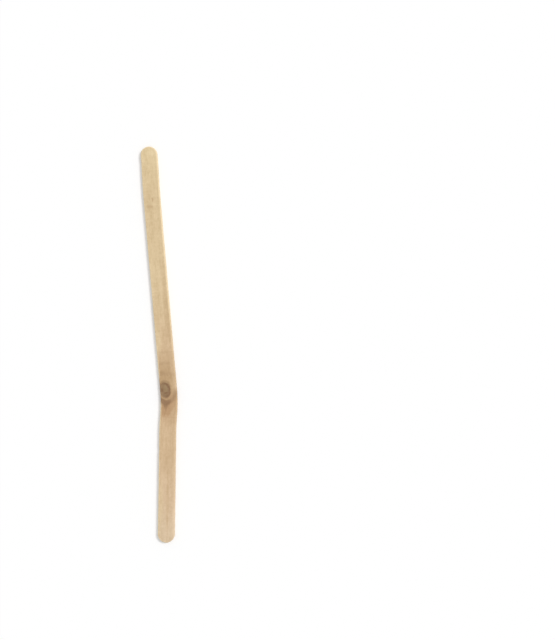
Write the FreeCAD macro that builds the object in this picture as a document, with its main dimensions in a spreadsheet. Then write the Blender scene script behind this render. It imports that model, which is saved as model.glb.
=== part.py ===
# Waxing spatula: a slim stick stamped from one strip of birch veneer.
#
# The strip is crooked where its grain runs round a knot: going up the stick, the lower run turns a
# little to the right, and a short way on, at the knot, the knee turns back further to the left.
# Both ends are full half rounds, and every edge round the two flat faces is eased.
#
# Frame: the stick lies on its underside. +Z is up, +Y runs along the stick from its lower tip to its
# upper one, and +X points to the outside of the knee. The origin is on the underside, in the middle
# of the outline's length and breadth. All sizes are in millimetres and degrees.

import FreeCAD, Part
import math
import os

import Sketcher

NODE = "spatula"
Z_AXIS = FreeCAD.Vector(0, 0, 1)

# Driving sizes: alias, value, meaning. Lengths along the stick follow its middle line.
SIZES = (
    ("blank_length", 140.0, "lower tip to upper tip"),
    ("blade_width", 6.0, "across the faces, the same from end to end"),
    ("veneer_thickness", 1.3, "from face to face"),
    ("return_from_lower_tip", 40.6, "lower tip to the corner of the first, slighter turn"),
    ("return_angle", 3.0, "degrees of the first turn, to the right"),
    ("knee_from_lower_tip", 49.9, "lower tip to the corner of the knee"),
    ("knee_angle", 8.7, "degrees of the knee's turn, to the left"),
    ("bend_radius", 60.0, "radius of the middle line through both turns"),
    ("arris_radius", 0.3, "round on the edges of both faces"),
)

# The runs of the stick and the bends between them, going up
RUNS = ("lower", "middle", "upper")
BENDS = ("return", "knee")
SIDES = ("right", "left")

# Sketcher's numbers for the points of a piece of geometry, and for the sketch's own axes
START, END, CENTRE = range(1, 4)
X_AXIS, Y_AXIS = range(-1, -3, -1)


def make_sheet(doc):
    """Keep the driving sizes in a spreadsheet, one aliased number a row."""
    sheet = doc.addObject("Spreadsheet::Sheet", "sizes")
    for row, (alias, value, meaning) in enumerate(SIZES, start=1):
        sheet.set(f"A{row}", meaning)
        sheet.set(f"B{row}", str(value))
        sheet.setAlias(f"B{row}", alias)
    doc.recompute()
    return sheet


def origin_plane(body, role):
    """Return one of the body's own origin planes."""
    return next(item for item in body.Origin.OriginFeatures if item.Role == role)


def middle_line(sheet):
    """Return the corners of the middle line, from end centre to end centre, in line with Y."""
    half_width = sheet.blade_width / 2
    lengths = (
        sheet.return_from_lower_tip - half_width,
        sheet.knee_from_lower_tip - sheet.return_from_lower_tip,
        sheet.blank_length - sheet.knee_from_lower_tip - half_width,
    )
    turns = (0, -sheet.return_angle, sheet.knee_angle)
    corners = [FreeCAD.Vector()]
    heading = 0
    for length, turn in zip(lengths, turns):
        heading += turn
        run = FreeCAD.Rotation(Z_AXIS, heading).multVec(FreeCAD.Vector(0, length, 0))
        corners.append(corners[-1] + run)

    straighten = FreeCAD.Rotation(corners[-1], FreeCAD.Vector(0, 1, 0))
    half_reach = FreeCAD.Vector(0, corners[-1].Length / 2, 0)
    return [straighten.multVec(corner) - half_reach for corner in corners]


def draw_bend(sketch, sheet, corner, before, after):
    """Draw the two arcs of a bend. Return their numbers, and where its middle line starts and ends."""
    turn = math.atan2(before.cross(after).z, before.dot(after))
    leftwards = math.copysign(1, turn)
    reach = sheet.bend_radius * math.tan(abs(turn) / 2)
    first = corner - before * reach
    last = corner + after * reach
    right_before = before.cross(Z_AXIS)
    centre = first - right_before * leftwards * sheet.bend_radius

    # An arc runs anticlockwise, so it starts at the bend's upper place where the bend turns right
    angles = [math.atan2(place.y - centre.y, place.x - centre.x) for place in (first, last)]
    if leftwards < 0:
        angles.reverse()
    numbers = {}
    for side, rightwards in (("right", 1), ("left", -1)):
        radius = sheet.bend_radius + rightwards * leftwards * sheet.blade_width / 2
        circle = Part.Circle(centre, Z_AXIS, radius)
        numbers[side] = sketch.addGeometry(Part.ArcOfCircle(circle, *angles), False)
    return numbers, first, last


def draw_outline(sketch, sheet):
    """Draw the outline near its final place and return the number of each piece of it."""
    half_width = sheet.blade_width / 2
    corners = middle_line(sheet)
    directions = [(end - start).normalize() for start, end in zip(corners, corners[1:])]
    pieces = {}

    def line(name, first, last):
        pieces[name] = sketch.addGeometry(Part.LineSegment(first, last), False)

    # Each run's straight edges reach from the bend before it to the bend after it
    starts = [corners[0]]
    ends = []
    for bend, corner, before, after in zip(BENDS, corners[1:], directions, directions[1:]):
        numbers, first, last = draw_bend(sketch, sheet, corner, before, after)
        for side in SIDES:
            pieces[f"{side}_{bend}_bend"] = numbers[side]
        ends.append(first)
        starts.append(last)
    ends.append(corners[-1])
    for run, start, end, direction in zip(RUNS, starts, ends, directions):
        rightwards = direction.cross(Z_AXIS) * half_width
        line(f"right_{run}_edge", start + rightwards, end + rightwards)
        line(f"left_{run}_edge", start - rightwards, end - rightwards)

    for name, centre, direction in (
        ("lower_end", corners[0], -directions[0]),
        ("upper_end", corners[-1], directions[-1]),
    ):
        outwards = math.atan2(direction.y, direction.x)
        circle = Part.Circle(centre, Z_AXIS, half_width)
        half_round = Part.ArcOfCircle(circle, outwards - math.pi / 2, outwards + math.pi / 2)
        pieces[name] = sketch.addGeometry(half_round, False)

    for run, start, end in zip(RUNS, corners, corners[1:]):
        line(f"{run}_run", start, end)
        sketch.setConstruction(pieces[f"{run}_run"], True)

    # The breadth runs from the outline's leftmost place, at its ends, to its rightmost, at the knee
    level = corners[-2].y
    rightmost = corners[-2].x + half_width
    leftmost = corners[0].x - half_width
    line("breadth", FreeCAD.Vector(leftmost, level, 0), FreeCAD.Vector(rightmost, level, 0))
    sketch.setConstruction(pieces["breadth"], True)
    return pieces


def join_outline(sketch, pieces):
    """Make the outline one smooth closed loop of even width, and centre it on the sketch's axes."""

    def constrain(kind, *places):
        numbers = [pieces.get(place, place) for place in places]
        sketch.addConstraint(Sketcher.Constraint(kind, *numbers))

    # The return bend turns right and is drawn downwards, and the knee turns left and is drawn upwards
    for side in SIDES:
        constrain("Tangent", f"{side}_lower_edge", END, f"{side}_return_bend", END)
        constrain("Tangent", f"{side}_return_bend", START, f"{side}_middle_edge", START)
        constrain("Tangent", f"{side}_middle_edge", END, f"{side}_knee_bend", START)
        constrain("Tangent", f"{side}_knee_bend", END, f"{side}_upper_edge", START)
    constrain("Tangent", "right_upper_edge", END, "upper_end", START)
    constrain("Tangent", "left_upper_edge", END, "upper_end", END)
    constrain("Tangent", "left_lower_edge", START, "lower_end", START)
    constrain("Tangent", "right_lower_edge", START, "lower_end", END)

    # The width is even: both edges of a run are parallel, and both arcs of a bend share a centre
    for bend in BENDS:
        constrain("Coincident", f"right_{bend}_bend", CENTRE, f"left_{bend}_bend", CENTRE)
    for run in RUNS:
        constrain("Parallel", f"right_{run}_edge", f"left_{run}_edge")

    # The middle line joins the end centres
    for run in RUNS:
        constrain("Parallel", f"{run}_run", f"right_{run}_edge")
    constrain("Coincident", "lower_end", CENTRE, "lower_run", START)
    constrain("Coincident", "lower_run", END, "middle_run", START)
    constrain("Coincident", "middle_run", END, "upper_run", START)
    constrain("Coincident", "upper_run", END, "upper_end", CENTRE)

    # The end centres lie in line with Y at equal distances, and the Y axis halves the breadth
    constrain("Symmetric", "lower_end", CENTRE, "upper_end", CENTRE, X_AXIS)
    constrain("PointOnObject", "breadth", END, "right_knee_bend")
    constrain("Horizontal", "breadth", END, "right_knee_bend", CENTRE)
    constrain("Symmetric", "breadth", START, "breadth", END, Y_AXIS)


def size_outline(sketch, pieces):
    """Tie each size of the outline to the spreadsheet."""
    half_width = "sizes.blade_width / 2"
    outer_radius = f"sizes.bend_radius + {half_width}"
    drives = (
        ("end_radius", half_width, "Radius", "lower_end"),
        ("knee_outer_radius", outer_radius, "Radius", "right_knee_bend"),
        ("return_outer_radius", outer_radius, "Radius", "left_return_bend"),
        ("knee_turn", "sizes.knee_angle", "Angle", "middle_run", "upper_run"),
        ("return_turn", "sizes.return_angle", "Angle", "middle_run", "lower_run"),
        (
            "lower_length",
            f"sizes.return_from_lower_tip - {half_width}",
            "Distance",
            "lower_run",
        ),
        (
            "middle_length",
            "sizes.knee_from_lower_tip - sizes.return_from_lower_tip",
            "Distance",
            "middle_run",
        ),
        (
            "upper_length",
            f"sizes.blank_length - sizes.knee_from_lower_tip - {half_width}",
            "Distance",
            "upper_run",
        ),
        ("middle_offset", half_width, "Distance", "middle_run", START, "right_middle_edge"),
        ("left_reach", half_width, "DistanceX", "breadth", START, "lower_end", CENTRE),
    )
    for name, expression, kind, *places in drives:
        numbers = [pieces.get(place, place) for place in places]
        start_value = sketch.evalExpression(expression)
        if kind == "Angle":
            start_value = math.radians(start_value)
        number = sketch.addConstraint(Sketcher.Constraint(kind, *numbers, start_value))
        sketch.renameConstraint(number, name)
        sketch.setExpression(f"Constraints.{name}", expression)


def face_edges(shape, thickness):
    """Name the edges that run round the two flat faces."""
    names = []
    for number, edge in enumerate(shape.Edges, start=1):
        low, high = edge.BoundBox.ZMin, edge.BoundBox.ZMax
        level = high - low < thickness / 2
        if level:
            names.append(f"Edge{number}")
    return names


def make_spatula(doc, sheet):
    """Stamp the outline from the veneer, then ease its edges."""
    body = doc.addObject("PartDesign::Body", "spatula_body")
    body.Label = NODE

    outline = body.newObject("Sketcher::SketchObject", "outline")
    outline.AttachmentSupport = (origin_plane(body, "XY_Plane"), [""])
    outline.MapMode = "FlatFace"
    pieces = draw_outline(outline, sheet)
    join_outline(outline, pieces)
    size_outline(outline, pieces)
    doc.recompute()

    blank = body.newObject("PartDesign::Pad", "blank")
    blank.Profile = outline
    blank.setExpression("Length", "sizes.veneer_thickness")
    doc.recompute()

    eased = body.newObject("PartDesign::Fillet", "eased_edges")
    eased.Base = (blank, face_edges(blank.Shape, sheet.veneer_thickness))
    eased.setExpression("Radius", "sizes.arris_radius")
    body.Tip = eased
    doc.recompute()
    return body


def check_document(doc, bodies):
    """Stop before anything is written if an object failed or a shape is not sound."""
    for item in doc.Objects:
        if "Invalid" in item.State or "Error" in item.State:
            raise RuntimeError(f"{item.Label} failed: {item.State}")
    for body in bodies:
        if body.Shape.isNull() or not body.Shape.isValid():
            raise RuntimeError(f"{body.Label} is not a sound shape")
        if len(body.Shape.Solids) != 1:
            raise RuntimeError(f"{body.Label} is not one solid")


def write_parts(bodies):
    """Write each body to the STEP file that carries its name."""
    os.makedirs("parts", exist_ok=True)
    for body in bodies:
        body.Shape.exportStep(f"parts/{body.Label}.step")
        box = body.Shape.optimalBoundingBox()
        print(
            f"{body.Label}: {body.Shape.Volume:.2f} cubic mm,"
            f" X {box.XMin:.3f} to {box.XMax:.3f},"
            f" Y {box.YMin:.3f} to {box.YMax:.3f},"
            f" Z {box.ZMin:.3f} to {box.ZMax:.3f}"
        )


def main():
    doc = FreeCAD.newDocument("waxing_spatula")
    sheet = make_sheet(doc)
    bodies = [make_spatula(doc, sheet)]
    check_document(doc, bodies)
    write_parts(bodies)


main()
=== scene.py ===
"""Waxing spatula: a slim birch stick with a knot beside its crook, lying on a pale floor.

The stick is modelled as it is made. Its cross-section is drawn at the lower end, run up the stick
through both turns, and turned round each end. Then wear is pressed into its cut edges, its faces
are given the ripple of peeled veneer, and it is finished as bare birch with grain that flows round
the knot, and with a painted highlight along its edges.

Lengths are in metres. Places in the grain are in millimetres: across the stick to the right of its
middle line, along it from the lower tip, and up from its underside.
"""

import math
import random

import bpy
from bpy.props import FloatProperty, FloatVectorProperty, IntProperty, PointerProperty
from mathutils import Matrix, Vector


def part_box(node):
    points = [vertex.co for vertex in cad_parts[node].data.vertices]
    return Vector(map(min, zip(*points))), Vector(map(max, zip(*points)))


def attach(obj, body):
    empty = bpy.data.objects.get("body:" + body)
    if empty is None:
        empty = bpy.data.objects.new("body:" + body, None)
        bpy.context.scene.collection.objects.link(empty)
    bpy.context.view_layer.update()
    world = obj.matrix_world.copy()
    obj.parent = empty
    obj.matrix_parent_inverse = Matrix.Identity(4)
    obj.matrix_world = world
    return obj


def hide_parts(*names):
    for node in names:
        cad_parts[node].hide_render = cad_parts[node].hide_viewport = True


bl_info = {
    "name": "Waxing Spatula",
    "version": (1, 0, 0),
    "blender": (4, 5, 0),
    "location": "3D View > Sidebar > Spatula",
    "description": "Makes a slim birch waxing spatula with a knot, and sets it on a pale floor",
    "category": "Add Mesh",
}

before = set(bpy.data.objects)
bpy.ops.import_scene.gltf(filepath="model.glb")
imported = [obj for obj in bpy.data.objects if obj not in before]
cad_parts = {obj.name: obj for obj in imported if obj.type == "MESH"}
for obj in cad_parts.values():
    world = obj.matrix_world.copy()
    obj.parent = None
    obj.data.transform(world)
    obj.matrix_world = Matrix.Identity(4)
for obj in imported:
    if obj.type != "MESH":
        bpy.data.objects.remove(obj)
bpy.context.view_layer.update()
BLANK_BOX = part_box("spatula")

MM = 0.001
UPRIGHT = Vector((0, 0, 1))
GRAIN_PLACE = "grain_place"

# The mesh. Points closer than JOIN are one. The bends have cells of about CELL, and the straight
# runs are laid RUN_CELLS cells at a time and split afterwards
JOIN = 1e-6
CELL = 0.25 * MM
RUN_CELLS = 8
LEAST_BEND_STEPS = 6
ARRIS_STEPS = 4
FACE_CUTS = 31
SIDE_CUTS = 3
END_STEPS = 40

# The wear. The bow's reach is in half widths. The fades are in millimetres inside the outline
BOW_REACH = 5
EDGE_FADE = (0.0, 0.5)
FACE_FADE = (0.3, 0.9)
KNOT_FADE = (0.25, 1.1)
EDGE_WAVER = 1.7 * MM
EDGE_FIBRE = 0.35 * MM
FACE_WAVE = 3.0 * MM
NICK_SEED = 41

# The knot, in millimetres: its centre across and along the stick, its half width and half length,
# and how far its upper end leans to the left
KNOT_CENTRE = (-1.12, 53.96)
KNOT_REACH = (1.95, 2.85)
KNOT_LEAN = math.radians(9)

# The marks on the upper face: centre and half size, across and along, strength and colour
MARK_DEPTH = 0.6
FACE_MARKS = (
    ((0.16, 121.1), (0.42, 1.1), 0.75, "tan"),
    ((-0.9, 118.7), (1.7, 1.0), 0.4, "tan"),
    ((0.0, 44.3), (9.0, 0.28), 0.25, "russet"),
    ((1.9, 85.0), (1.5, 19.0), 0.3, "tan"),
    ((-2.4, 72.0), (2.0, 8.0), 0.5, "cream"),
    ((0.3, 13.0), (0.75, 15.0), 0.5, "rose"),
    ((-0.4, 30.0), (0.8, 9.0), 0.25, "tan"),
    ((-2.3, 14.0), (1.6, 12.0), 0.35, "cream"),
)

# The finish: the grain's relief, roughness and shine, and how far red, green and blue swing with
# the grain's tone
GRAIN_RELIEF = 0.04 * MM
WOOD_ROUGHNESS = 0.66
WOOD_SHINE = 0.3
TONE_GAINS = (1.0, 1.2, 1.6)

# The stage. The picture's middle is a place at the height of the stick's upper face
FLOOR_SIZE = 60
TOWARDS_LAMP = Vector((0.62, 0.34, 0.72)).normalized()
PICTURE_MIDDLE = Vector((41.13, 6.63, 1.3)) * MM
PICTURE_LEAN = math.radians(2.742)
NEAREST_SEEN = 0.01


def paint(red, green, blue):
    """Turn a colour as seen on screen, 0 to 255, into the linear one that a shader takes."""
    return tuple(
        part / 12.92 if part <= 0.04045 else ((part + 0.055) / 1.055) ** 2.4
        for part in (red / 255, green / 255, blue / 255)
    )


def length_size(name, default, description):
    """Make a property for a length in metres."""
    return FloatProperty(
        name=name,
        description=description,
        default=default,
        min=0,
        precision=5,
        subtype="DISTANCE",
        unit="LENGTH",
    )


def angle_size(name, default, description):
    """Make a property for an angle."""
    return FloatProperty(
        name=name,
        description=description,
        default=math.radians(default),
        subtype="ANGLE",
        unit="ROTATION",
    )


def wood_colour(name, default, description):
    """Make a property for a colour of the wood."""
    return FloatVectorProperty(
        name=name,
        description=description,
        default=paint(*default),
        size=3,
        min=0,
        max=1,
        subtype="COLOR",
    )


class StickSizes(bpy.types.PropertyGroup):
    """The sizes of the stick and of the wear on it."""

    blank_length: length_size("Length", 140 * MM, "Lower tip to upper tip, along the middle line")
    blade_width: length_size("Width", 6 * MM, "Across the faces, from end to end")
    thickness: length_size("Thickness", BLANK_BOX[1].z - BLANK_BOX[0].z, "From face to face")
    arris_radius: length_size("Arris", 0.3 * MM, "Round on the edges of both faces")
    return_place: length_size("Return", 40.6 * MM, "Lower tip to the corner of the first turn")
    return_angle: angle_size("Return Angle", 3.0, "First turn, to the right")
    knee_place: length_size("Knee", 49.9 * MM, "Lower tip to the corner of the knee")
    knee_angle: angle_size("Knee Angle", 8.7, "The knee's turn, to the left")
    bend_radius: length_size("Bend Radius", 60 * MM, "Radius of the middle line through both turns")
    edge_wear: length_size("Edge Wear", 0.10 * MM, "How far the cut edges waver inwards")
    face_ripple: length_size("Face Ripple", 0.02 * MM, "How deep the peeling marks are")
    knot_dish: length_size("Knot Dish", 0.05 * MM, "How far the knot has shrunk below the face")
    tip_drift: length_size("Tip Drift", 0.3 * MM, "How far the upper end bows to the right")
    nick_depth: length_size("Nick Depth", 0.09 * MM, "How deep the nicks in the edges are")
    nick_count: IntProperty(
        name="Nicks", description="How many nicks the edges have", default=26, min=0
    )


class WoodColours(bpy.types.PropertyGroup):
    """The colours of the bare birch."""

    cream: wood_colour("Cream", (223, 201, 159), "The pale upper end")
    straw: wood_colour("Straw", (216, 192, 152), "The upper run")
    rose: wood_colour("Rose", (208, 179, 142), "The pinker lower run")
    linen: wood_colour("Linen", (217, 193, 161), "The lower end")
    blush: wood_colour("Blush", (214, 186, 152), "The lower run towards its end")
    tan: wood_colour("Tan", (188, 157, 118), "Wood stained by the knot, above it")
    russet: wood_colour("Russet", (184, 148, 110), "Wood stained by the knot, below it")
    knot_core: wood_colour("Knot Core", (155, 129, 96), "The heart of the knot")
    knot_body: wood_colour("Knot Body", (148, 120, 90), "The knot round its heart")
    knot_ring: wood_colour("Knot Ring", (132, 101, 72), "The dark rim of the knot")
    knot_band: wood_colour("Knot Band", (146, 114, 83), "The dark band below the knot")
    knot_halo: wood_colour("Knot Halo", (186, 156, 117), "The pale arc between rim and band")
    # Painted highlight: the paler strip along the edges, where the lamp catches them. The pale
    # flecks of the grain use this colour too
    worn_edge: wood_colour("Worn Edge", (236, 214, 175), "The rubbed edges")


class StageSettings(bpy.types.PropertyGroup):
    """The floor, the light and the camera."""

    floor_colour: FloatVectorProperty(
        name="Floor",
        description="The floor's own colour",
        default=(0.84, 0.84, 0.84),
        size=3,
        min=0,
        max=1,
        subtype="COLOR",
    )
    sky_light: FloatProperty(
        name="Sky", description="Share of the light that comes from all round", default=0.6, min=0
    )
    lamp_light: FloatProperty(
        name="Lamp", description="Share of the light that comes from the lamp", default=0.4, min=0
    )
    lamp_spread: angle_size("Lamp Spread", 20, "How wide the lamp looks from the stick")
    camera_height: length_size("Camera Height", 0.25, "Camera above the stick's upper face")
    picture_height: length_size("Picture Height", 0.2252, "Height of the picture at the face")


class StickPath:
    """The stick's middle line, laid out with its lower run along +Y from the lower end centre."""

    def __init__(self, sizes):
        half = sizes.blade_width / 2
        headings = (0, -sizes.return_angle, sizes.knee_angle - sizes.return_angle)
        lengths = (
            sizes.return_place - half,
            sizes.knee_place - sizes.return_place,
            sizes.blank_length - sizes.knee_place - half,
        )
        turns = [after - before for before, after in zip(headings, headings[1:])]
        reaches = [sizes.bend_radius * math.tan(abs(turn) / 2) for turn in turns]
        self.legs = []
        place = Vector((0, 0, 0))
        along = half
        for number, (heading, length) in enumerate(zip(headings, lengths)):
            ahead = Matrix.Rotation(heading, 3, "Z") @ Vector((0, 1, 0))
            straight = length - sum(reaches[max(0, number - 1) : number + 1])
            self.legs.append(("run", place.copy(), ahead, straight, along))
            place += ahead * straight
            along += straight
            if number < len(turns):
                turn = turns[number]
                leftwards = math.copysign(1, turn)
                centre = place - ahead.cross(UPRIGHT) * leftwards * sizes.bend_radius
                self.legs.append(("bend", place.copy(), centre, turn, along))
                place = centre + Matrix.Rotation(turn, 3, "Z") @ (place - centre)
                along += abs(turn) * sizes.bend_radius
        self.end = place
        self.end_ahead = ahead
        self.bend_radius = sizes.bend_radius

    def follow(self, point):
        """Return how far across and along the middle line a point lies, in metres."""
        flat = Vector((point.x, point.y, 0))
        for kind, start, guide, reach, along in self.legs:
            away = flat - start
            if kind == "run":
                forward = away.dot(guide)
                across = away.dot(guide.cross(UPRIGHT))
                if forward <= reach or start == self.legs[-1][1]:
                    return across, along + forward
            else:
                leftwards = math.copysign(1, reach)
                before = start - guide
                spoke = flat - guide
                swept = math.atan2(before.cross(spoke).z, before.dot(spoke)) * leftwards
                if swept <= abs(reach):
                    outwards = spoke.length - self.bend_radius
                    return outwards * leftwards, along + swept * self.bend_radius
        raise RuntimeError("a point lies past the end of the middle line")


def deselect(mesh):
    """In object mode, deselect all of a mesh."""
    for parts in (mesh.polygons, mesh.edges, mesh.vertices):
        for part in parts:
            part.select = False


def select_points(stick, test):
    """In object mode, select only the points whose place passes a test."""
    mesh = stick.data
    deselect(mesh)
    for point in mesh.vertices:
        point.select = test(point.co)


def select_edges(stick, test):
    """In object mode, select only the edges whose length passes a test."""
    mesh = stick.data
    deselect(mesh)
    for edge in mesh.edges:
        first, last = (mesh.vertices[number].co for number in edge.vertices)
        edge.select = test((last - first).length)
        if edge.select:
            for number in edge.vertices:
                mesh.vertices[number].select = True


def split_edges(stick, test, cuts):
    """Cut the chosen edges into equal lengths."""
    select_edges(stick, test)
    bpy.ops.object.mode_set(mode="EDIT")
    bpy.ops.mesh.select_mode(type="EDGE")
    bpy.ops.object.mode_set(mode="OBJECT")
    select_edges(stick, test)
    bpy.ops.object.mode_set(mode="EDIT")
    bpy.ops.mesh.subdivide(number_cuts=cuts)
    bpy.ops.mesh.select_mode(type="VERT")
    bpy.ops.object.mode_set(mode="OBJECT")


def draw_section(sizes):
    """Draw the cross-section at the lower end centre: a ring with a round at each corner."""
    bpy.ops.object.select_all(action="DESELECT")
    bpy.ops.mesh.primitive_plane_add(size=1, location=(0, 0, 0))
    stick = bpy.context.object
    stick.name = stick.data.name = "birch_stick"
    bpy.ops.object.mode_set(mode="EDIT")
    bpy.ops.mesh.select_mode(type="VERT")
    bpy.ops.mesh.select_all(action="SELECT")
    bpy.ops.transform.rotate(value=math.pi / 2, orient_axis="X", center_override=(0, 0, 0))
    bpy.ops.transform.resize(
        value=(sizes.blade_width, 1, sizes.thickness), center_override=(0, 0, 0)
    )
    bpy.ops.transform.translate(value=(0, 0, sizes.thickness / 2))
    bpy.ops.mesh.bevel(offset=sizes.arris_radius, segments=ARRIS_STEPS, affect="VERTICES")
    bpy.ops.mesh.delete(type="ONLY_FACE")
    bpy.ops.object.mode_set(mode="OBJECT")
    side = sizes.thickness - 2 * sizes.arris_radius
    split_edges(stick, lambda length: length > 2 * side, FACE_CUTS)
    split_edges(stick, lambda length: side * 0.9 < length < side * 1.1, SIDE_CUTS)
    return stick


def run_up(stick, path):
    """Run the cross-section up the middle line, through both turns, to the upper end centre."""
    bpy.ops.object.mode_set(mode="EDIT")
    bpy.ops.mesh.select_all(action="SELECT")
    for kind, _, guide, reach, _ in path.legs:
        if kind == "run":
            steps = max(1, round(reach / (CELL * RUN_CELLS)))
            bpy.ops.mesh.extrude_repeat(steps=steps, offset=guide * reach / steps)
        else:
            steps = max(LEAST_BEND_STEPS, round(abs(reach) * path.bend_radius / CELL))
            bpy.ops.mesh.spin(steps=steps, angle=-reach, center=guide, axis=UPRIGHT)
    bpy.ops.object.mode_set(mode="OBJECT")


def round_end(stick, centre, ahead, turn):
    """Turn the right half of an end's cross-section about its centre, to the left half."""
    right = ahead.cross(UPRIGHT)

    def on_right_half(place):
        away = place - centre
        return abs(away.dot(ahead)) < JOIN and away.dot(right) > -JOIN

    select_points(stick, on_right_half)
    bpy.ops.object.mode_set(mode="EDIT")
    bpy.ops.mesh.spin(steps=END_STEPS, angle=turn, center=centre, axis=UPRIGHT)
    bpy.ops.object.mode_set(mode="OBJECT")


def close_up(stick):
    """Join the seams and turn all faces outwards."""
    bpy.ops.object.mode_set(mode="EDIT")
    bpy.ops.mesh.select_all(action="SELECT")
    bpy.ops.mesh.remove_doubles(threshold=JOIN)
    bpy.ops.mesh.normals_make_consistent(inside=False)
    bpy.ops.object.mode_set(mode="OBJECT")


def note_grain(stick, path):
    """Keep each point's place in the grain, in millimetres, before the stick is put in place."""
    notes = stick.data.attributes.new(GRAIN_PLACE, "FLOAT_VECTOR", "POINT")
    for point, note in zip(stick.data.vertices, notes.data):
        across, along = path.follow(point.co)
        note.vector = Vector((across, along, point.co.z)) / MM


def put_in_place(stick, path):
    """Bring the end centres in line with Y, and the outline to the middle of the blank."""
    lean = math.atan2(path.end.x, path.end.y)
    bpy.ops.object.mode_set(mode="EDIT")
    bpy.ops.mesh.select_all(action="SELECT")
    bpy.ops.transform.rotate(value=-lean, orient_axis="Z", center_override=(0, 0, 0))
    bpy.ops.object.mode_set(mode="OBJECT")
    lows, highs = mesh_box(stick)
    shift = (BLANK_BOX[0] + BLANK_BOX[1] - lows - highs) / 2
    bpy.ops.object.mode_set(mode="EDIT")
    bpy.ops.transform.translate(value=shift)
    bpy.ops.object.mode_set(mode="OBJECT")


def bow_upper_end(stick, sizes):
    """Draw the upper tip to the right, so that the last stretch of the stick bows a little."""
    tip = max(point.co.y for point in stick.data.vertices) - sizes.blade_width / 2
    select_points(stick, lambda place: place.y > tip)
    bpy.ops.object.mode_set(mode="EDIT")
    bpy.ops.transform.translate(
        value=(sizes.tip_drift, 0, 0),
        use_proportional_edit=True,
        proportional_edit_falloff="SMOOTH",
        proportional_size=BOW_REACH * sizes.blade_width / 2,
    )
    bpy.ops.object.mode_set(mode="OBJECT")


def mesh_box(stick):
    """Return the lowest and highest corners of the stick's mesh."""
    places = [point.co for point in stick.data.vertices]
    return tuple(
        Vector([pick(place[axis] for place in places) for axis in range(3)]) for pick in (min, max)
    )


def ease(low, high, value):
    """Rise smoothly from 0 at the low value to 1 at the high one."""
    share = min(1, max(0, (value - low) / (high - low)))
    return share * share * (3 - 2 * share)


def weigh_points(stick, name, weight):
    """Make a vertex group from a rule that gives each place in the grain its weight."""
    group = stick.vertex_groups.new(name=name)
    notes = stick.data.attributes[GRAIN_PLACE].data
    for number, note in enumerate(notes):
        share = weight(*note.vector)
        if share > 0.001:
            group.add([number], share, "REPLACE")
    return group


def press_in(stick, group, depth, grain=None):
    """Press the weighted points inwards, evenly or by a soft cloud of the given grain."""
    press = stick.modifiers.new(group.name, "DISPLACE")
    press.vertex_group = group.name
    if grain is None:
        press.strength = -depth
        press.mid_level = 0
    else:
        press.strength = depth
        press.mid_level = 1
        cloud = bpy.data.textures.new(group.name, "CLOUDS")
        cloud.noise_scale = grain
        cloud.noise_depth = 2
        press.texture = cloud
        press.texture_coords = "LOCAL"
    bpy.ops.object.modifier_apply(modifier=press.name)


def inset_from_outline(sizes, across, along):
    """Return how far a place lies inside the stick's outline, in millimetres."""
    half = sizes.blade_width / 2 / MM
    length = sizes.blank_length / MM
    past = max(half - along, along - (length - half), 0)
    return half - math.hypot(across, past)


def wear_stick(stick, sizes):
    """Wear the cut edges, ripple the faces, sink the knot and nick the edges, all inwards."""
    bpy.context.view_layer.objects.active = stick

    def on_edges(across, along, up):
        return 1 - ease(*EDGE_FADE, inset_from_outline(sizes, across, along))

    def on_faces(across, along, up):
        return ease(*FACE_FADE, inset_from_outline(sizes, across, along))

    def in_knot(across, along, up):
        ring = knot_ring_radius(across, along)
        hollow = 1 - ease(0.5, 1.15, ring)
        groove = math.exp(-(((ring - 0.92) / 0.14) ** 2))
        inside = ease(*KNOT_FADE, inset_from_outline(sizes, across, along))
        return inside * min(1, 0.55 * hollow + 0.6 * groove)

    for name, weight, depth, grain in (
        ("worn_edges", on_edges, sizes.edge_wear, EDGE_WAVER),
        ("edge_fibres", on_edges, sizes.edge_wear / 3, EDGE_FIBRE),
        ("peeled_faces", on_faces, sizes.face_ripple, FACE_WAVE),
        ("shrunk_knot", in_knot, sizes.knot_dish, None),
    ):
        press_in(stick, weigh_points(stick, name, weight), depth, grain)

    chance = random.Random(NICK_SEED)
    length = sizes.blank_length / MM
    half = sizes.blade_width / 2 / MM
    nicks = []
    for _ in range(sizes.nick_count):
        across = chance.choice((-half, half))
        along = chance.uniform(half, length - half)
        up = chance.choice((0, sizes.thickness / MM))
        reach = Vector((0.4, chance.uniform(0.5, 1.4), 0.5))
        nicks.append((Vector((across, along, up)), reach, chance.uniform(0.3, 1)))

    def in_nicks(across, along, up):
        deepest = 0
        for centre, reach, share in nicks:
            if abs(along - centre.y) < reach.y:
                away = Vector((across, along, up)) - centre
                out = Vector((away.x / reach.x, away.y / reach.y, away.z / reach.z)).length
                deepest = max(deepest, share * (1 - ease(0.1, 1, out)))
        return deepest

    press_in(stick, weigh_points(stick, "nicks", in_nicks), sizes.nick_depth)


def knot_ring_radius(across, along):
    """Return how far out a place lies from the knot's centre, 1 being its rim."""
    away = Vector((across - KNOT_CENTRE[0], along - KNOT_CENTRE[1]))
    away = Matrix.Rotation(-KNOT_LEAN, 2) @ away
    return math.hypot(away.x / KNOT_REACH[0], away.y / KNOT_REACH[1])


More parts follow.
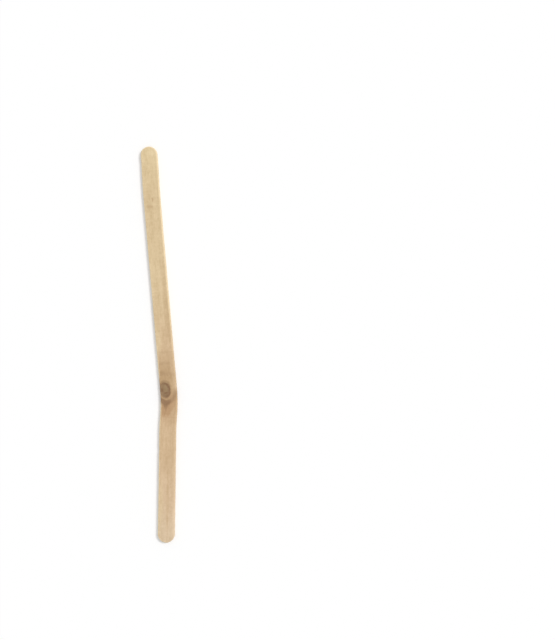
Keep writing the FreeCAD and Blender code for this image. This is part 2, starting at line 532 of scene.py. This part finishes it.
class NodeBench:
    """Adds nodes to one tree, sets them out in rows and links them."""

    ROW_LENGTH = 10
    COLUMN_WIDTH = 200
    ROW_HEIGHT = 320

    def __init__(self, tree):
        self.tree = tree
        self.count = 0

    def add(self, kind, **settings):
        """Add a node at the next free place."""
        node = self.tree.nodes.new(kind)
        row, column = divmod(self.count, self.ROW_LENGTH)
        node.location = (column * self.COLUMN_WIDTH, -row * self.ROW_HEIGHT)
        self.count += 1
        for name, value in settings.items():
            setattr(node, name, value)
        return node

    def feed(self, socket, value):
        """Link a socket to another one, or set its value."""
        if isinstance(value, bpy.types.NodeSocket):
            self.tree.links.new(value, socket)
        else:
            socket.default_value = value

    def add_fed(self, kind, values, **settings):
        """Add a node and give its inputs their values, in order."""
        node = self.add(kind, **settings)
        for socket, value in zip(node.inputs, values):
            self.feed(socket, value)
        return node

    def maths(self, operation, *values):
        """Work out a number."""
        return self.add_fed("ShaderNodeMath", values, operation=operation).outputs[0]

    def vector(self, operation, *values):
        """Work out a vector, or for a length its number."""
        node = self.add_fed("ShaderNodeVectorMath", values, operation=operation)
        return node.outputs["Value" if operation == "LENGTH" else "Vector"]

    def split(self, vector):
        """Take a vector apart."""
        return tuple(self.add_fed("ShaderNodeSeparateXYZ", (vector,)).outputs)

    def combine(self, *parts):
        """Make a vector of three numbers."""
        return self.add_fed("ShaderNodeCombineXYZ", parts).outputs[0]

    def step(self, value, low, high, start=0.0, end=1.0):
        """Pass smoothly from the start at the low value to the end at the high one."""
        values = (value, low, high, start, end)
        node = self.add_fed("ShaderNodeMapRange", values, interpolation_type="SMOOTHSTEP")
        return node.outputs[0]

    def crest(self, value, low, top, high):
        """Rise smoothly from 0 at the low value to 1 at the top, and fall to 0 at the high one."""
        rising = self.step(value, low, top)
        falling = self.step(value, top, high, 1.0, 0.0)
        return self.maths("MULTIPLY", rising, falling)

    def noise_field(self, vector, stretch, detail, roughness):
        """Add noise of the given number of waves a millimetre across, along and up."""
        node = self.add("ShaderNodeTexNoise")
        self.feed(node.inputs["Vector"], self.vector("MULTIPLY", vector, stretch))
        node.inputs["Scale"].default_value = 1.0
        node.inputs["Detail"].default_value = detail
        node.inputs["Roughness"].default_value = roughness
        return node

    def noise(self, vector, stretch, detail=2.0, roughness=0.5):
        """Read a number from noise."""
        return self.noise_field(vector, stretch, detail, roughness).outputs["Fac"]

    def wander(self, vector, stretch, reach):
        """Shift places by soft noise, up to half the reach either way."""
        drift = self.noise_field(vector, stretch, 2.0, 0.5).outputs["Color"]
        centred = self.vector("SUBTRACT", drift, (0.5, 0.5, 0.5))
        return self.vector("ADD", vector, self.vector("MULTIPLY", centred, (reach, reach, 0.0)))

    def oval(self, vector, centre, reach):
        """Work out how far a place is from an oval's centre, 1 being its rim."""
        away = self.vector("SUBTRACT", vector, (*centre, 0.0))
        away = self.vector("MULTIPLY", away, (1 / reach[0], 1 / reach[1], 0.0))
        return self.vector("LENGTH", away)

    def tint(self, factor, first, second, blend="MIX"):
        """Mix one colour into another."""
        node = self.add("ShaderNodeMix", data_type="RGBA", blend_type=blend)
        self.feed(node.inputs[0], factor)
        # The node keeps a pair of inputs for each kind of value: 6 and 7 are the colours
        for socket, colour in ((node.inputs[6], first), (node.inputs[7], second)):
            if not isinstance(colour, bpy.types.NodeSocket):
                colour = (*colour, 1)
            self.feed(socket, colour)
        return node.outputs[2]

    def ramp(self, value, stops):
        """Read a colour from a ramp of places and colours."""
        node = self.add("ShaderNodeValToRGB")
        band = node.color_ramp
        band.interpolation = "EASE"
        while len(band.elements) < len(stops):
            band.elements.new(0.5)
        for element, (place, colour) in zip(band.elements, stops):
            element.position = place
            element.color = (*colour, 1)
        self.feed(node.inputs[0], value)
        return node.outputs[0]


def start_group(name, inputs, outputs):
    """Start a node group. Return it, its bench, its input sockets and its output node."""
    group = bpy.data.node_groups.new(name, "ShaderNodeTree")
    for label, kind in inputs:
        group.interface.new_socket(label, in_out="INPUT", socket_type=f"NodeSocket{kind}")
    for label, kind in outputs:
        group.interface.new_socket(label, in_out="OUTPUT", socket_type=f"NodeSocket{kind}")
    bench = NodeBench(group)
    entry = bench.add("NodeGroupInput")
    exit_node = group.nodes.new("NodeGroupOutput")
    exit_node.location = (NodeBench.ROW_LENGTH * NodeBench.COLUMN_WIDTH, 0)
    return group, bench, entry.outputs, exit_node.inputs


def place_group(bench, group, **values):
    """Put a group in a material. Underscores in the names stand for spaces."""
    node = bench.add("ShaderNodeGroup")
    node.node_tree = group
    for name, value in values.items():
        socket = node.inputs[name.replace("_", " ")]
        if socket.type == "RGBA" and isinstance(value, tuple):
            value = (*value, 1)
        bench.feed(socket, value)
    return node.outputs


def make_grain_flow():
    """Make the grain part and flow round a knot, as water round a stone, and ring inside it."""
    group, bench, given, result = start_group(
        "Grain Flow",
        (("Place", "Vector"), ("Knot", "Vector"), ("Radius", "Float"), ("Slant", "Float")),
        (("Flow", "Vector"), ("From Knot", "Vector")),
    )
    along, up = bench.split(given["Place"])[1:]
    away = bench.vector("SUBTRACT", given["Place"], given["Knot"])
    knot_across, knot_along, knot_up = bench.split(away)

    # The knot goes down through the stick at a slant, to the right and towards the upper end
    knot_across = bench.maths("MULTIPLY_ADD", knot_up, given["Slant"], knot_across)
    knot_along = bench.maths("MULTIPLY_ADD", knot_up, given["Slant"], knot_along)
    from_knot = bench.combine(knot_across, knot_along, knot_up)
    bench.feed(result["From Knot"], from_knot)

    ring = bench.vector("LENGTH", bench.vector("MULTIPLY", from_knot, (1.0, 0.55, 0.0)))
    outer = bench.maths("MAXIMUM", ring, given["Radius"])
    parting = bench.maths("POWER", bench.maths("DIVIDE", given["Radius"], outer), 2.0)
    round_knot = bench.maths("MULTIPLY", knot_across, bench.maths("SUBTRACT", 1.0, parting))
    inside = bench.maths("SUBTRACT", bench.maths("MINIMUM", ring, given["Radius"]), given["Radius"])
    flow_across = bench.maths("ADD", round_knot, inside)
    bench.feed(result["Flow"], bench.combine(flow_across, along, up))
    return group


def make_birch_figure():
    """Make the figure of peeled birch: growth streaks, fibres, pores, flecks and peeling marks."""
    group, bench, given, result = start_group(
        "Birch Figure",
        (("Flow", "Vector"), ("Place", "Vector")),
        (("Tone", "Float"), ("Pores", "Float"), ("Flecks", "Float"), ("Height", "Float")),
    )
    # Each noise adds its share to the tone. What runs with the grain flows round the knot
    noises = {}
    tone = 0.0
    for name, source, stretch, detail, roughness, strength in (
        ("streaks", "Flow", (0.5, 0.02, 0.5), 3.0, 0.55, 0.15),
        ("bands", "Flow", (1.0, 0.09, 1.0), 2.0, 0.5, 0.17),
        ("fibres", "Flow", (3.2, 0.3, 3.2), 3.0, 0.6, 0.17),
        ("threads", "Flow", (13.0, 0.5, 13.0), 2.0, 0.5, 0.10),
        ("mottle", "Place", (1.3, 0.9, 1.3), 4.0, 0.75, 0.31),
        ("blotches", "Place", (0.5, 0.3, 0.5), 2.0, 0.5, 0.14),
        ("chatter", "Place", (0.25, 1.7, 0.3), 3.0, 0.6, 0.12),
    ):
        noises[name] = bench.noise(given[source], stretch, detail, roughness)
        swing = bench.maths("SUBTRACT", noises[name], 0.5)
        tone = bench.maths("MULTIPLY_ADD", swing, strength, tone)
    bench.feed(result["Tone"], tone)

    pores = bench.step(bench.noise(given["Flow"], (9.0, 1.3, 9.0), 1.0), 0.60, 0.70)
    bench.feed(result["Pores"], pores)
    flecks = bench.step(bench.noise(given["Place"], (1.6, 0.7, 1.6)), 0.58, 0.72)
    bench.feed(result["Flecks"], flecks)

    # Fibres, peeling marks and threads stand up, and pores are sunk
    relief = bench.maths("MULTIPLY", noises["chatter"], 0.5)
    relief = bench.maths("MULTIPLY_ADD", noises["fibres"], 0.6, relief)
    relief = bench.maths("MULTIPLY_ADD", noises["threads"], 0.3, relief)
    bench.feed(result["Height"], bench.maths("MULTIPLY_ADD", pores, -0.25, relief))
    return group


def make_knot_eye():
    """Make the knot: a pale heart in a darker body, and a dark rim that is heaviest at right."""
    colours = ("Core", "Body", "Ring")
    group, bench, given, result = start_group(
        "Knot Eye",
        (("From Knot", "Vector"), *((name, "Color") for name in colours)),
        (("Color", "Color"), ("Mask", "Float")),
    )
    moved = bench.wander(given["From Knot"], (0.8, 0.6, 0.5), 0.7)
    moved = bench.wander(moved, (4.0, 3.0, 1.0), 0.12)
    turn = bench.add("ShaderNodeVectorRotate", rotation_type="Z_AXIS")
    bench.feed(turn.inputs["Vector"], moved)
    turn.inputs["Angle"].default_value = -KNOT_LEAN
    upright = turn.outputs[0]
    flat = bench.vector("MULTIPLY", upright, (1 / KNOT_REACH[0], 1 / KNOT_REACH[1], 0.0))
    ring = bench.vector("LENGTH", flat)
    side, top = bench.split(flat)[:2]

    # Fine rings of growth, paler towards the top and in the heart
    growth = bench.maths("SINE", bench.maths("MULTIPLY", ring, 40.0))
    body = bench.tint(bench.step(growth, -1.0, 1.0, 0.0, 0.22), given["Body"], given["Ring"])
    body = bench.tint(bench.step(top, 0.1, 0.7, 0.0, 0.4), body, given["Core"])
    heart = bench.oval(upright, (0.27, 0.36), (0.78, 1.42))
    colour = bench.tint(bench.step(heart, 0.5, 1.2, 1.0, 0.0), body, given["Core"])

    # A broad soft rim to the right, and a thin line round the top
    heavier = bench.step(side, -0.45, 0.55, 0.2, 1.0)
    rim = bench.maths("MULTIPLY", bench.crest(ring, 0.52, 0.84, 1.12), heavier)
    colour = bench.tint(rim, colour, given["Ring"])
    upper = bench.step(top, -0.9, 0.2, 0.1, 0.7)
    line = bench.maths("MULTIPLY", bench.crest(ring, 0.82, 0.95, 1.08), upper)
    colour = bench.tint(line, colour, given["Ring"])

    # Dark places to the left of the heart, under it, and at the foot: centre, half size and share
    for centre, reach, share in (
        ((-1.25, 0.25), (0.75, 0.95), 1.0),
        ((0.17, -1.12), (1.1, 0.42), 1.0),
        ((0.25, -2.25), (1.1, 0.7), 0.35),
    ):
        spot = bench.step(bench.oval(upright, centre, reach), 0.2, 1.15, share, 0.0)
        colour = bench.tint(spot, colour, given["Ring"])

    bench.feed(result["Color"], colour)
    bench.feed(result["Mask"], bench.step(ring, 0.88, 1.14, 1.0, 0.0))
    return group


def make_knot_stain():
    """Make the stains that surround the knot: tan above, russet below, halo, band and tail."""
    colours = ("Wood", "Above", "Below", "Halo", "Band")
    group, bench, given, result = start_group(
        "Knot Stain",
        (("From Knot", "Vector"), *((name, "Color") for name in colours)),
        (("Color", "Color"), ("Near", "Float")),
    )
    moved = bench.wander(given["From Knot"], (0.5, 0.35, 0.5), 1.0)
    moved = bench.wander(moved, (3.0, 1.5, 1.0), 0.2)
    across, along = bench.split(moved)[:2]
    below = bench.maths("MULTIPLY", along, -1.0)

    # Both stains thin out to the right. The lower one partly stops at a rounded front, where
    # the rest of it fades on
    rising = bench.step(along, 3.0, 18.0, 1.0, 0.0)
    above = bench.maths("MULTIPLY", rising, bench.step(across, 1.8, 3.6, 1.0, 0.25))
    stained_above = bench.tint(above, given["Wood"], given["Above"])
    front = bench.maths("MULTIPLY_ADD", bench.maths("MULTIPLY", across, across), 0.4, below)
    stopping = bench.step(front, 9.0, 10.4, 0.45, 0.0)
    falling = bench.maths("ADD", stopping, bench.step(below, 6.0, 16.5, 0.55, 0.0))
    under = bench.maths("MULTIPLY", falling, bench.step(across, 0.5, 4.5, 1.0, 0.6))
    stained_below = bench.tint(under, given["Wood"], given["Below"])
    colour = bench.tint(bench.step(along, -2.5, 1.0), stained_below, stained_above)

    # Growth rings cross the grain above the knot: where each starts, peaks and ends, and its share
    spread = bench.vector("LENGTH", bench.vector("MULTIPLY", moved, (0.4, 1.0, 0.0)))
    lefter = bench.step(across, -0.5, 4.5, 1.0, 0.3)
    clear = bench.maths("MULTIPLY", bench.step(along, 2.5, 4.0), lefter)
    for low, crest, high, share in (
        (4.6, 5.7, 7.0, 0.28),
        (8.6, 9.5, 10.3, 0.16),
        (12.2, 13.4, 14.2, 0.10),
    ):
        ring = bench.maths("MULTIPLY", bench.crest(spread, low, crest, high), clear)
        colour = bench.tint(bench.maths("MULTIPLY", ring, share), colour, given["Band"])

    # The band hangs below the knot, with a darker root to the left and the pale halo inside it
    oval = bench.oval(moved, (0.5, -0.25), (3.35, 4.15))
    underneath = bench.step(along, -2.2, 1.2, 1.0, 0.0)
    sideways = bench.maths("ABSOLUTE", across)
    band = bench.maths("MULTIPLY", bench.crest(oval, 0.55, 0.98, 1.28), underneath)
    heaviest = bench.step(sideways, 0.3, 2.8, 1.0, 0.5)
    colour = bench.tint(bench.maths("MULTIPLY", band, heaviest), colour, given["Band"])
    root = bench.oval(moved, (-2.0, -3.6), (1.6, 2.1))
    colour = bench.tint(bench.step(root, 0.3, 1.15, 0.95, 0.0), colour, given["Band"])
    halo = bench.maths("MULTIPLY", bench.crest(oval, 0.69, 0.75, 0.82), underneath)
    paler = bench.step(across, 0.6, 2.2, 0.8, 0.35)
    colour = bench.tint(bench.maths("MULTIPLY", halo, paler), colour, given["Halo"])

    # A soft shade surrounds the upper part of the rim
    rim = bench.oval(moved, (0.0, 0.0), KNOT_REACH)
    shade = bench.maths("MULTIPLY", bench.crest(rim, 0.9, 1.06, 1.35), bench.step(along, 0.5, 2.2))
    colour = bench.tint(bench.maths("MULTIPLY", shade, 0.5), colour, given["Band"])

    # The tail narrows from the band to a point
    share = bench.maths("DIVIDE", bench.maths("SUBTRACT", below, 4.3), 3.0)
    half = bench.maths("MAXIMUM", bench.maths("MULTIPLY_ADD", share, -1.5, 1.8), 0.15)
    tail = bench.step(bench.maths("DIVIDE", sideways, half), 0.4, 1.1, 1.0, 0.0)
    tail = bench.maths("MULTIPLY", tail, bench.crest(share, -0.2, 0.1, 1.4))
    colour = bench.tint(bench.maths("MULTIPLY", tail, 0.95), colour, given["Band"])
    bench.feed(result["Color"], colour)
    bench.feed(result["Near"], bench.step(oval, 0.95, 1.6, 1.0, 0.0))
    return group


def make_stick_edges():
    """Find the cut edges: how much painted highlight a place gets along them, and how much it is
    cut across the grain.
    """
    group, bench, given, result = start_group(
        "Stick Edges",
        (("Place", "Vector"), ("Half Width", "Float"), ("Length", "Float")),
        (("Worn", "Float"), ("Cut", "Float"), ("Cross Cut", "Float")),
    )
    across, along = bench.split(given["Place"])[:2]
    before = bench.maths("SUBTRACT", given["Half Width"], along)
    upper = bench.maths("SUBTRACT", given["Length"], given["Half Width"])
    beyond = bench.maths("SUBTRACT", along, upper)
    past = bench.maths("MAXIMUM", bench.maths("MAXIMUM", before, beyond), 0.0)
    out = bench.vector("LENGTH", bench.combine(across, past, 0.0))
    inset = bench.maths("SUBTRACT", given["Half Width"], out)

    # The painted highlight along the edges is wider at right, towards the lamp. Along the lower run
    # it hardly shows there, and fully at left, where it lifts the edge's shade, and along the upper
    # run it shows on both sides
    uneven = bench.noise(given["Place"], (1.2, 0.6, 1.5), 3.0, 0.6)
    least = bench.step(across, -1.0, 1.0, 0.28, 0.42)
    reach = bench.maths("MULTIPLY_ADD", uneven, 0.45, least)
    highlight_strip = bench.step(bench.maths("DIVIDE", inset, reach), 0.5, 1.1, 1.0, 0.0)
    lower_run = bench.step(across, -1.0, 1.0, 1.0, 0.1)
    painted_highlight = bench.step(along, 54.0, 95.0, lower_run, 0.85)
    bench.feed(result["Worn"], bench.maths("MULTIPLY", highlight_strip, painted_highlight))

    cut = bench.step(inset, 0.02, 0.09, 1.0, 0.0)
    bench.feed(result["Cut"], cut)
    crosswise = bench.maths("DIVIDE", past, bench.maths("MAXIMUM", out, 0.1))
    bench.feed(result["Cross Cut"], bench.maths("MULTIPLY", cut, crosswise))
    return group


def make_mark():
    """Make a soft mark at one place: a fleck, a smudge or a line across the grain."""
    group, bench, given, result = start_group(
        "Mark",
        (("Place", "Vector"), ("Centre", "Vector"), ("Reach", "Vector"), ("Strength", "Float")),
        (("Mask", "Float"),),
    )
    ragged = bench.noise(given["Place"], (2.0, 2.0, 0.5))
    swing = bench.maths("MULTIPLY", bench.maths("SUBTRACT", ragged, 0.5), 0.5)
    away = bench.vector("SUBTRACT", given["Place"], given["Centre"])
    away = bench.vector("ADD", away, bench.combine(swing, swing, 0.0))
    away = bench.vector("LENGTH", bench.vector("DIVIDE", away, given["Reach"]))
    mask = bench.step(away, 0.3, 1.0, 1.0, 0.0)
    bench.feed(result["Mask"], bench.maths("MULTIPLY", mask, given["Strength"]))
    return group


def finish_birch(stick, sizes, wood):
    """Give the stick its bare birch: tone along it, knot, grain, marks, painted highlights along
    the edges, and cut edges.
    """
    birch = bpy.data.materials.new("birch_veneer")
    birch.use_nodes = True
    birch.node_tree.nodes.clear()
    bench = NodeBench(birch.node_tree)
    notes = bench.add("ShaderNodeAttribute", attribute_name=GRAIN_PLACE)
    place = notes.outputs["Vector"]
    length = sizes.blank_length / MM
    half = sizes.blade_width / 2 / MM
    thickness = sizes.thickness / MM

    flow = place_group(
        bench,
        make_grain_flow(),
        Place=place,
        Knot=(*KNOT_CENTRE, thickness),
        Radius=2.2,
        Slant=0.25,
    )
    figure = place_group(bench, make_birch_figure(), Flow=flow["Flow"], Place=place)

    # The colour changes along the stick, at places that drift a little
    drift = bench.noise(place, (0.1, 0.03, 0.1))
    share = bench.maths("DIVIDE", bench.split(place)[1], length)
    share = bench.maths("MULTIPLY_ADD", bench.maths("SUBTRACT", drift, 0.5), 0.16, share)
    colour = bench.ramp(
        share,
        (
            (0.0, wood.linen),
            (0.12, wood.blush),
            (0.24, wood.rose),
            (0.44, wood.rose),
            (0.68, wood.straw),
            (0.88, wood.straw),
            (1.0, wood.cream),
        ),
    )
    stain = place_group(
        bench,
        make_knot_stain(),
        From_Knot=flow["From Knot"],
        Wood=colour,
        Above=tuple(wood.tan),
        Below=tuple(wood.russet),
        Halo=tuple(wood.knot_halo),
        Band=tuple(wood.knot_band),
    )
    colour = stain["Color"]

    mark = make_mark()
    for centre, reach, strength, name in FACE_MARKS:
        made = place_group(
            bench,
            mark,
            Place=place,
            Centre=(*centre, thickness),
            Reach=(*reach, MARK_DEPTH),
            Strength=strength,
        )
        colour = bench.tint(made["Mask"], colour, tuple(getattr(wood, name)))

    eye = place_group(
        bench,
        make_knot_eye(),
        From_Knot=flow["From Knot"],
        Core=tuple(wood.knot_core),
        Body=tuple(wood.knot_body),
        Ring=tuple(wood.knot_ring),
    )
    colour = bench.tint(eye["Mask"], colour, eye["Color"])

    # The painted highlight along the edges and the pale flecks fade out near the knot
    edges = place_group(bench, make_stick_edges(), Place=place, Half_Width=half, Length=length)
    sound = bench.maths("SUBTRACT", 1.0, bench.maths("MULTIPLY", stain["Near"], 0.9))
    # Painted highlight: the edges are paled where the lamp catches them at right, and at left where
    # they lie in shade
    painted_highlight = bench.maths("MULTIPLY", edges["Worn"], sound)
    colour = bench.tint(painted_highlight, colour, tuple(wood.worn_edge))
    colour = bench.tint(bench.maths("MULTIPLY", edges["Cross Cut"], 0.45), colour, tuple(wood.tan))
    colour = bench.tint(bench.maths("MULTIPLY", figure["Pores"], 0.16), colour, tuple(wood.russet))
    flecks = bench.maths("MULTIPLY", figure["Flecks"], sound)
    colour = bench.tint(bench.maths("MULTIPLY", flecks, 0.10), colour, tuple(wood.worn_edge))

    # The cut sides show the layers of the veneer, and are torn
    layers = bench.noise(place, (0.6, 0.25, 6.0), 3.0, 0.6)
    layers = bench.maths("MULTIPLY", bench.maths("SUBTRACT", layers, 0.5), edges["Cut"])
    tone = bench.maths("MULTIPLY_ADD", layers, 0.25, figure["Tone"])
    gains = [bench.maths("MULTIPLY_ADD", tone, gain, 1.0) for gain in TONE_GAINS]
    colour = bench.tint(1.0, colour, bench.combine(*gains), "MULTIPLY")
    torn = bench.noise(place, (4.0, 1.2, 2.0), 3.0, 0.7)
    relief = bench.maths("MULTIPLY_ADD", edges["Cut"], torn, figure["Height"])
    bump = bench.add("ShaderNodeBump")
    bump.inputs["Strength"].default_value = 0.5
    bump.inputs["Distance"].default_value = GRAIN_RELIEF
    bench.feed(bump.inputs["Height"], relief)
    rough = bench.maths("MULTIPLY_ADD", figure["Tone"], -0.5, WOOD_ROUGHNESS)

    shader = bench.add("ShaderNodeBsdfPrincipled")
    bench.feed(shader.inputs["Base Color"], colour)
    bench.feed(shader.inputs["Roughness"], rough)
    shader.inputs["Specular IOR Level"].default_value = WOOD_SHINE
    bench.feed(shader.inputs["Normal"], bump.outputs[0])
    surface = bench.add("ShaderNodeOutputMaterial")
    bench.feed(surface.inputs["Surface"], shader.outputs[0])
    stick.data.materials.append(birch)


class SPATULA_OT_make_stick(bpy.types.Operator):
    """Model the birch stick, wear it and finish it"""

    bl_idname = "spatula.make_stick"
    bl_label = "Make Stick"

    def execute(self, context):
        sizes = context.scene.stick_sizes
        path = StickPath(sizes)
        stick = draw_section(sizes)
        run_up(stick, path)
        round_end(stick, path.end, path.end_ahead, -math.pi)
        round_end(stick, Vector((0, 0, 0)), Vector((0, 1, 0)), math.pi)
        split_edges(stick, lambda length: length > CELL * RUN_CELLS / 2, RUN_CELLS - 1)
        close_up(stick)
        note_grain(stick, path)
        put_in_place(stick, path)
        bow_upper_end(stick, sizes)
        wear_stick(stick, sizes)
        bpy.ops.object.shade_smooth()
        finish_birch(stick, sizes, context.scene.wood_colours)
        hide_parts("spatula")
        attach(stick, "root")
        return {"FINISHED"}


def seen_by_camera(bench):
    """Return a mask that is 1 where the camera sees a thing, also in gloss and through glass."""
    path = bench.add("ShaderNodeLightPath")
    seen = bench.maths("MAXIMUM", path.outputs["Is Camera Ray"], path.outputs["Is Glossy Ray"])
    return bench.maths("MAXIMUM", seen, path.outputs["Is Transmission Ray"])


def lay_floor(stage):
    """Lay a wide pale floor that shows white to the camera and keeps the stick's shadow."""
    bpy.ops.object.select_all(action="DESELECT")
    bpy.ops.mesh.primitive_plane_add(size=FLOOR_SIZE, location=(0, 0, 0))
    floor = bpy.context.object
    floor.name = floor.data.name = "pale_floor"
    pale = bpy.data.materials.new("pale_floor")
    pale.use_nodes = True
    pale.node_tree.nodes.clear()
    bench = NodeBench(pale.node_tree)
    matt = bench.add("ShaderNodeBsdfDiffuse")
    matt.inputs["Color"].default_value = (*stage.floor_colour, 1)
    glow = bench.add("ShaderNodeEmission")
    short_of_white = 1 - stage.floor_colour[0]
    strength = bench.maths("MULTIPLY", seen_by_camera(bench), short_of_white)
    bench.feed(glow.inputs["Strength"], strength)
    both = bench.add("ShaderNodeAddShader")
    bench.feed(both.inputs[0], matt.outputs[0])
    bench.feed(both.inputs[1], glow.outputs[0])
    surface = bench.add("ShaderNodeOutputMaterial")
    bench.feed(surface.inputs["Surface"], both.outputs[0])
    floor.data.materials.append(pale)


def light_stage(scene, stage):
    """Light the stick evenly from all round, and softly from the upper right."""
    world = bpy.data.worlds.new("even_sky")
    scene.world = world
    world.use_nodes = True
    world.node_tree.nodes.clear()
    bench = NodeBench(world.node_tree)
    sky = bench.add("ShaderNodeBackground")
    sky.inputs["Color"].default_value = (1, 1, 1, 1)
    strength = bench.maths("MAXIMUM", seen_by_camera(bench), stage.sky_light)
    bench.feed(sky.inputs["Strength"], strength)
    surface = bench.add("ShaderNodeOutputWorld")
    bench.feed(surface.inputs["Surface"], sky.outputs[0])

    bpy.ops.object.light_add(type="SUN", location=TOWARDS_LAMP)
    lamp = bpy.context.object
    lamp.name = "soft_lamp"
    lamp.rotation_euler = TOWARDS_LAMP.to_track_quat("Z", "Y").to_euler()
    lamp.data.angle = stage.lamp_spread
    # At this strength the lamp gives a level face just its share of the light
    lamp.data.energy = stage.lamp_light * math.pi / TOWARDS_LAMP.z


def hang_camera(scene, stage):
    """Hang the camera over the middle of the picture, looking straight down."""
    place = PICTURE_MIDDLE + Vector((0, 0, stage.camera_height))
    bpy.ops.object.camera_add(location=place, rotation=(0, 0, -PICTURE_LEAN))
    camera = bpy.context.object
    camera.name = "camera"
    camera.data.lens = camera.data.sensor_width * stage.camera_height / stage.picture_height
    camera.data.clip_start = NEAREST_SEEN
    scene.camera = camera


class SPATULA_OT_set_stage(bpy.types.Operator):
    """Lay the floor, light it and hang the camera"""

    bl_idname = "spatula.set_stage"
    bl_label = "Set Stage"

    def execute(self, context):
        scene = context.scene
        stage = scene.stage_settings
        lay_floor(stage)
        light_stage(scene, stage)
        hang_camera(scene, stage)
        scene.view_settings.view_transform = "Standard"
        return {"FINISHED"}


class SPATULA_PT_panel(bpy.types.Panel):
    """Lists the stick's operators and settings"""

    bl_idname = "SPATULA_PT_panel"
    bl_label = "Waxing Spatula"
    bl_space_type = "VIEW_3D"
    bl_region_type = "UI"
    bl_category = "Spatula"

    def draw(self, context):
        scene = context.scene
        for operator, settings in (
            (SPATULA_OT_make_stick, (scene.stick_sizes, scene.wood_colours)),
            (SPATULA_OT_set_stage, (scene.stage_settings,)),
        ):
            box = self.layout.box()
            box.operator(operator.bl_idname)
            for group in settings:
                for name in group.bl_rna.properties.keys():
                    if name not in ("rna_type", "name"):
                        box.prop(group, name)


CLASSES = (
    StickSizes,
    WoodColours,
    StageSettings,
    SPATULA_OT_make_stick,
    SPATULA_OT_set_stage,
    SPATULA_PT_panel,
)


def register():
    """Register the classes and keep their settings in the scene."""
    for kind in CLASSES:
        bpy.utils.register_class(kind)
    bpy.types.Scene.stick_sizes = PointerProperty(type=StickSizes)
    bpy.types.Scene.wood_colours = PointerProperty(type=WoodColours)
    bpy.types.Scene.stage_settings = PointerProperty(type=StageSettings)


def unregister():
    """Take away the settings and the classes."""
    del bpy.types.Scene.stage_settings
    del bpy.types.Scene.wood_colours
    del bpy.types.Scene.stick_sizes
    for kind in reversed(CLASSES):
        bpy.utils.unregister_class(kind)


def main():
    """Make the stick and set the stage."""
    register()
    bpy.ops.spatula.make_stick()
    bpy.ops.spatula.set_stage()


if __name__ == "__main__":
    main()
